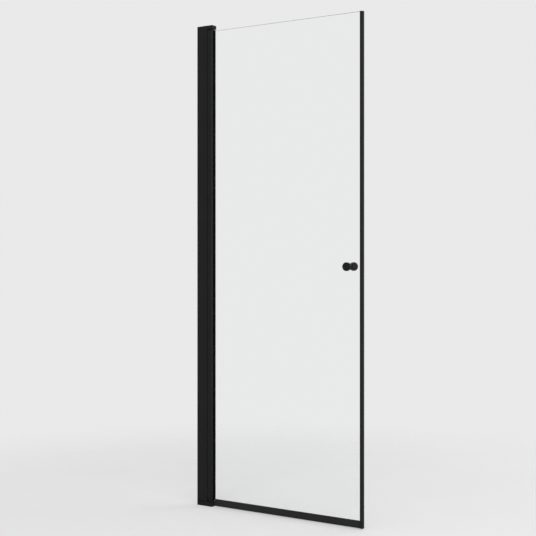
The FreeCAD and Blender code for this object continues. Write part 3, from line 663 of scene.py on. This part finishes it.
@dataclass
class SubAssembly(ABC):
    """A group of pieces on one body of the door."""

    body: Body

    @abstractmethod
    def build(self) -> None:
        """Build the group's pieces and dress them."""

    def dress(self, finish: Finish, *nodes: str) -> None:
        """Give nodes of the frame a finish.

        Args:
            finish: What they get.
            nodes: The nodes' names.
        """
        for node in nodes:
            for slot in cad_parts[node].material_slots:
                slot.material = finish.material()
            log.info("dressed %s with %s", node, finish.name)

    def stand_for(self, piece: bpy.types.Object, node: str, finish: Finish) -> None:
        """Put a finished piece in the place of a node.

        Args:
            piece: The new piece.
            node: The node that it replaces.
            finish: The piece's finish.
        """
        piece.data.materials.append(finish.material())
        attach(piece, self.body.value)
        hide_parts(node)
        log.info("built %s for %s", piece.name, node)

    def soft_edged(self, node: str, name: str, finish: Finish, width: float) -> None:
        """Replace a node by a copy with rounded edges.

        Args:
            node: The node of the frame.
            name: The new piece's name.
            finish: The piece's finish.
            width: The rounding's width in metres.
        """
        piece = Bench.copy_of(node, name)
        Bench.soften(piece, width)
        self.stand_for(piece, node, finish)


@dataclass
class WallChannel(SubAssembly):
    """The profile that is screwed to the wall."""

    body: Body = Body.WALL_CHANNEL
    edge: float = 0.3 * MM

    def build(self) -> None:
        """Build the wall profile."""
        self.soft_edged("wall_profile", "channel_extrusion", UPRIGHT_COAT, self.edge)


@dataclass
class Jamb(SubAssembly):
    """The telescoping jamb with its end blocks, bushes, lower cam and clamp screws."""

    body: Body = Body.JAMB
    edge: float = 0.3 * MM
    moulded_edge: float = 0.2 * MM

    def build(self) -> None:
        """Build the jamb's outer pieces and dress its inner ones."""
        self.soft_edged("hinge_jamb", "jamb_extrusion", UPRIGHT_COAT, self.edge)
        self.soft_edged("top_cap", "head_cap", PLASTIC, self.moulded_edge)
        self.soft_edged("base_block", "foot_block", PLASTIC, self.moulded_edge)
        self.soft_edged("clamp_covers", "clamp_cover_caps", PLASTIC, self.moulded_edge)
        self.soft_edged("top_pin_cover", "pin_cover_disc", PLASTIC, self.moulded_edge)
        self.dress(PLASTIC, "lower_lift_cam")
        self.dress(ACETAL, "top_bush", "bottom_bush")
        self.dress(STEEL, "top_cap_screws", "base_screws", "clamp_screws", "clamp_washers", "clamp_nuts")


@dataclass
class Pivots(SubAssembly):
    """The two pins that the leaf turns on."""

    body: Body = Body.PIVOTS

    def build(self) -> None:
        """Dress the pins."""
        self.dress(STEEL, "top_pivot_pin", "bottom_pivot_pin")


@dataclass
class Leaf(SubAssembly):
    """The hinge post, the glass and the gasket between them."""

    body: Body = Body.LEAF
    edge: float = 0.3 * MM
    arris: float = 0.7 * MM
    glass_share: float = 0.985

    def build(self) -> None:
        """Build the post and the glass, and dress what joins them."""
        self.soft_edged("hinge_post", "post_extrusion", UPRIGHT_COAT, self.edge)
        self.build_glass()
        self.dress(UPRIGHT_SEAL, "glass_gasket")
        self.dress(PLASTIC, "top_post_plug", "bottom_post_plug", "upper_lift_cam")
        self.dress(STEEL, "post_plug_screws")

    def build_glass(self) -> None:
        """Replace the pane by one with ground arrises, a hair thinner to share no face with a seal."""
        piece = Bench.copy_of("glass_pane", "glass_sheet")
        with Bench.editing(piece):
            bpy.ops.mesh.select_all(action="SELECT")
            bpy.ops.transform.resize(value=(1.0, self.glass_share, 1.0), center_override=(0.0, 0.0, 0.0))
        Bench.soften(piece, self.arris, segments=1)
        self.stand_for(piece, "glass_pane", GLASS)


@dataclass
class FloorRail(SubAssembly):
    """The rail under the glass with its gasket, drip seal and end caps."""

    body: Body = Body.LEAF
    edge: float = 0.25 * MM

    def build(self) -> None:
        """Build the rail and its caps, and dress the seals."""
        self.soft_edged("bottom_rail", "rail_extrusion", RAIL_COAT_PAINTED_LIGHTER, self.edge)
        self.soft_edged("rail_end_caps", "rail_caps", PLASTIC, self.edge)
        self.dress(RAIL_SEAL, "rail_gasket", "drip_seal")


@dataclass
class ClosingStrip(SubAssembly):
    """The strip on the free edge with its magnet and end caps."""

    body: Body = Body.LEAF
    edge: float = 0.25 * MM

    def build(self) -> None:
        """Build the strip and its caps, and dress the magnet."""
        self.soft_edged("edge_strip", "strip_extrusion", STRIP_PLASTIC_PAINTED_LIGHTER, self.edge)
        self.soft_edged("strip_end_caps", "strip_caps", STRIP_PLASTIC_PAINTED_LIGHTER, self.edge)
        self.dress(MAGNET, "magnet_bar")


@dataclass
class Knobs(SubAssembly):
    """The pair of knobs with what holds them through the glass."""

    body: Body = Body.LEAF
    edge: float = 0.35 * MM
    rim: float = 2.2 * MM
    step: float = 0.9 * MM
    dish: float = 0.5 * MM
    square_on: float = 0.99
    same_level: float = 0.01 * MM
    lacquer: KnobLacquer = field(init=False)

    def __post_init__(self) -> None:
        """Centre the lacquer's rings on the knobs."""
        low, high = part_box("knob_stud")
        self.lacquer = KnobLacquer(centre=tuple((low + high) / 2))

    def build(self) -> None:
        """Build both knobs and dress their fixings."""
        self.build_knob("front_knob", "front_turned_knob", Vector((0.0, -1.0, 0.0)))
        self.build_knob("rear_knob", "rear_turned_knob", Vector((0.0, 1.0, 0.0)))
        self.dress(SOFT_WASHER, "knob_washers")
        self.dress(ACETAL, "knob_sleeve")
        self.dress(STEEL, "knob_stud", "knob_grub_screws")

    def build_knob(self, node: str, name: str, outwards: Vector) -> None:
        """Replace a knob by one with a shallow dish in its face and soft edges.

        Args:
            node: The knob's node.
            name: The new piece's name.
            outwards: The direction of its face.
        """
        piece = Bench.copy_of(node, name)
        front = max(corner.dot(outwards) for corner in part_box(node))

        def in_front(face: bpy.types.MeshPolygon) -> bool:
            """Tell whether a face is the knob's front."""
            level = abs(face.center.dot(outwards) - front) < self.same_level
            return level and face.normal.dot(outwards) > self.square_on

        with Bench.editing(piece):
            Bench.pick_faces(piece, in_front)
            bpy.ops.mesh.inset(thickness=self.rim)
            bpy.ops.mesh.inset(thickness=self.step, depth=-self.dish)
        Bench.soften(piece, self.edge, segments=3)
        self.stand_for(piece, node, self.lacquer)


@dataclass(frozen=True)
class Lamp:
    """A soft square panel: where it hangs, its side in metres and its power in watts."""

    name: str
    spot: Place
    size: float
    power: float

    def hang(self, target: Place) -> None:
        """Hang the panel, unseen by the camera, in reflections and through the glass.

        Args:
            target: The point that it faces.
        """
        panel = bpy.data.lights.new(self.name, "AREA")
        panel.shape = "SQUARE"
        panel.size = self.size
        panel.energy = self.power
        holder = bpy.data.objects.new(self.name, panel)
        holder.visible_camera = False
        holder.visible_glossy = False
        holder.visible_transmission = False
        holder.location = self.spot
        aim = Vector(target) - Vector(self.spot)
        holder.rotation_euler = aim.to_track_quat("-Z", "Y").to_euler()
        bpy.context.scene.collection.objects.link(holder)
        log.info("hung %s", self.name)


@dataclass
class Studio:
    """A pale floor that fades out, an even pale world that glows on one side, and soft lamps."""

    floor_centre: Place = (0.33, 0.0, 0.0)
    floor_radius: float = 5.0
    floor_sides: int = 96
    floor_fade: Span = (1.0, 2.6)
    floor_colour: float = 0.74
    floor_mottle: float = 0.01
    floor_pattern: Pattern = Pattern(3.0, 2.0)
    floor_roughness: float = 0.9
    floor_gloss: float = 0.1
    floor_glow: float = 0.4
    backdrop: float = 0.82
    glow: float = 1.9
    glow_side: Place = (0.96, -0.28, 0.0)
    fill: float = 0.7
    lamp_target: Place = (0.33, 0.0, 1.0)
    lamps: tuple[Lamp, ...] = (
        Lamp("key_panel", (1.2, -2.6, 4.2), 2.4, 60.0),
        Lamp("side_panel", (3.6, -1.9, 1.1), 2.0, 58.0),
        Lamp("back_panel", (2.3, 2.9, 2.2), 2.2, 32.0),
    )

    def build(self) -> None:
        """Build the floor and the world, and hang the lamps."""
        self.build_floor()
        self.build_world()
        for lamp in self.lamps:
            lamp.hang(self.lamp_target)

    def build_floor(self) -> None:
        """Build a round floor."""
        bpy.ops.object.select_all(action="DESELECT")
        bpy.ops.mesh.primitive_circle_add(
            vertices=self.floor_sides, radius=self.floor_radius, fill_type="NGON", location=self.floor_centre,
        )
        floor = bpy.context.active_object
        floor.name = "studio_floor"
        bpy.ops.object.transform_apply(location=True)
        floor.data.materials.append(self.floor_material())
        log.info("built the floor")

    def floor_material(self) -> bpy.types.Material:
        """Make the floor's material, partly of the backdrop's own tone, with a rim that fades into it.

        Returns:
            The material.
        """
        shader = Shader("studio_floor")
        dark = (self.floor_colour * (1.0 - self.floor_mottle),) * 3
        bright = (self.floor_colour * (1.0 + self.floor_mottle),) * 3
        shader.tint(shader.noise(self.floor_pattern), dark, bright)
        shader.set(Roughness=self.floor_roughness, Specular_IOR_Level=self.floor_gloss)
        rays = shader.add("ShaderNodeLightPath")
        share = shader.choose(rays.outputs["Is Camera Ray"], self.floor_glow, 0.0)
        for kind in ("Is Glossy Ray", "Is Transmission Ray"):
            share = shader.choose(rays.outputs[kind], self.floor_glow, share)
        pale = shader.add("ShaderNodeEmission")
        pale.inputs["Strength"].default_value = self.backdrop
        lit = shader.mixed(share, shader.main.outputs["BSDF"], pale.outputs["Emission"])
        reach = shader.add("ShaderNodeVectorMath", operation="LENGTH")
        shader.link(shader.centred(self.floor_centre), reach.inputs[0])
        fade = shader.remap(reach.outputs["Value"], self.floor_fade, (0.0, 1.0), Curve.SOFT)
        clear = shader.add("ShaderNodeBsdfTransparent")
        faded = shader.mixed(fade, lit, clear.outputs["BSDF"])
        shader.link(faded, shader.output.inputs["Surface"])
        return shader.material

    def build_world(self) -> None:
        """Light evenly from all round, with a pale backdrop that glows on one side in soft reflections."""
        world = bpy.data.worlds.new("studio_world")
        bpy.context.scene.world = world
        world.use_nodes = True
        graph = Graph(world.node_tree)
        heading = graph.add("ShaderNodeTexCoord")
        side = graph.add("ShaderNodeVectorMath", operation="DOT_PRODUCT")
        side.inputs[1].default_value = self.glow_side
        graph.link(heading.outputs["Generated"], side.inputs[0])
        glow = graph.remap(side.outputs["Value"], (0.0, 1.0), (self.backdrop, self.glow), Curve.SOFT)
        rays = graph.add("ShaderNodeLightPath")
        strength = graph.choose(rays.outputs["Is Glossy Ray"], glow, self.fill)
        for kind in ("Is Singular Ray", "Is Transmission Ray", "Is Camera Ray"):
            strength = graph.choose(rays.outputs[kind], self.backdrop, strength)
        sky = graph.add("ShaderNodeBackground")
        sky.inputs["Color"].default_value = (1.0, 1.0, 1.0, 1.0)
        graph.link(strength, sky.inputs["Strength"])
        output = graph.add("ShaderNodeOutputWorld")
        graph.link(sky.outputs["Background"], output.inputs["Surface"])
        log.info("built the world")


@dataclass
class PhotoCamera:
    """The camera at the photograph's place, found from the door's edges in the picture."""

    spot: Place = (2.7445, -3.7347, 1.0596)
    level: float = math.radians(90.0)
    heading: float = math.radians(33.39)
    lens: float = 74.59
    sensor: float = 36.0
    shift_up: float = -0.0306
    sight: float = 100.0

    def build(self) -> None:
        """Set up the camera, level and turned to the door."""
        data = bpy.data.cameras.new("photo_camera")
        data.sensor_width = self.sensor
        data.lens = self.lens
        data.shift_y = self.shift_up
        data.clip_end = self.sight
        camera = bpy.data.objects.new("photo_camera", data)
        camera.location = self.spot
        camera.rotation_euler = (self.level, 0.0, self.heading)
        bpy.context.scene.collection.objects.link(camera)
        bpy.context.scene.camera = camera
        log.info("set the camera")


def main() -> None:
    """Build the door's looks, the studio and the camera."""
    logging.basicConfig(level=logging.INFO, format="%(name)s: %(message)s")
    bpy.context.scene.view_settings.view_transform = "Standard"
    PhotoCamera().build()
    for part in (WallChannel(), Jamb(), Pivots(), Leaf(), FloorRail(), ClosingStrip(), Knobs()):
        part.build()
    Studio().build()


if __name__ == "__main__":
    main()
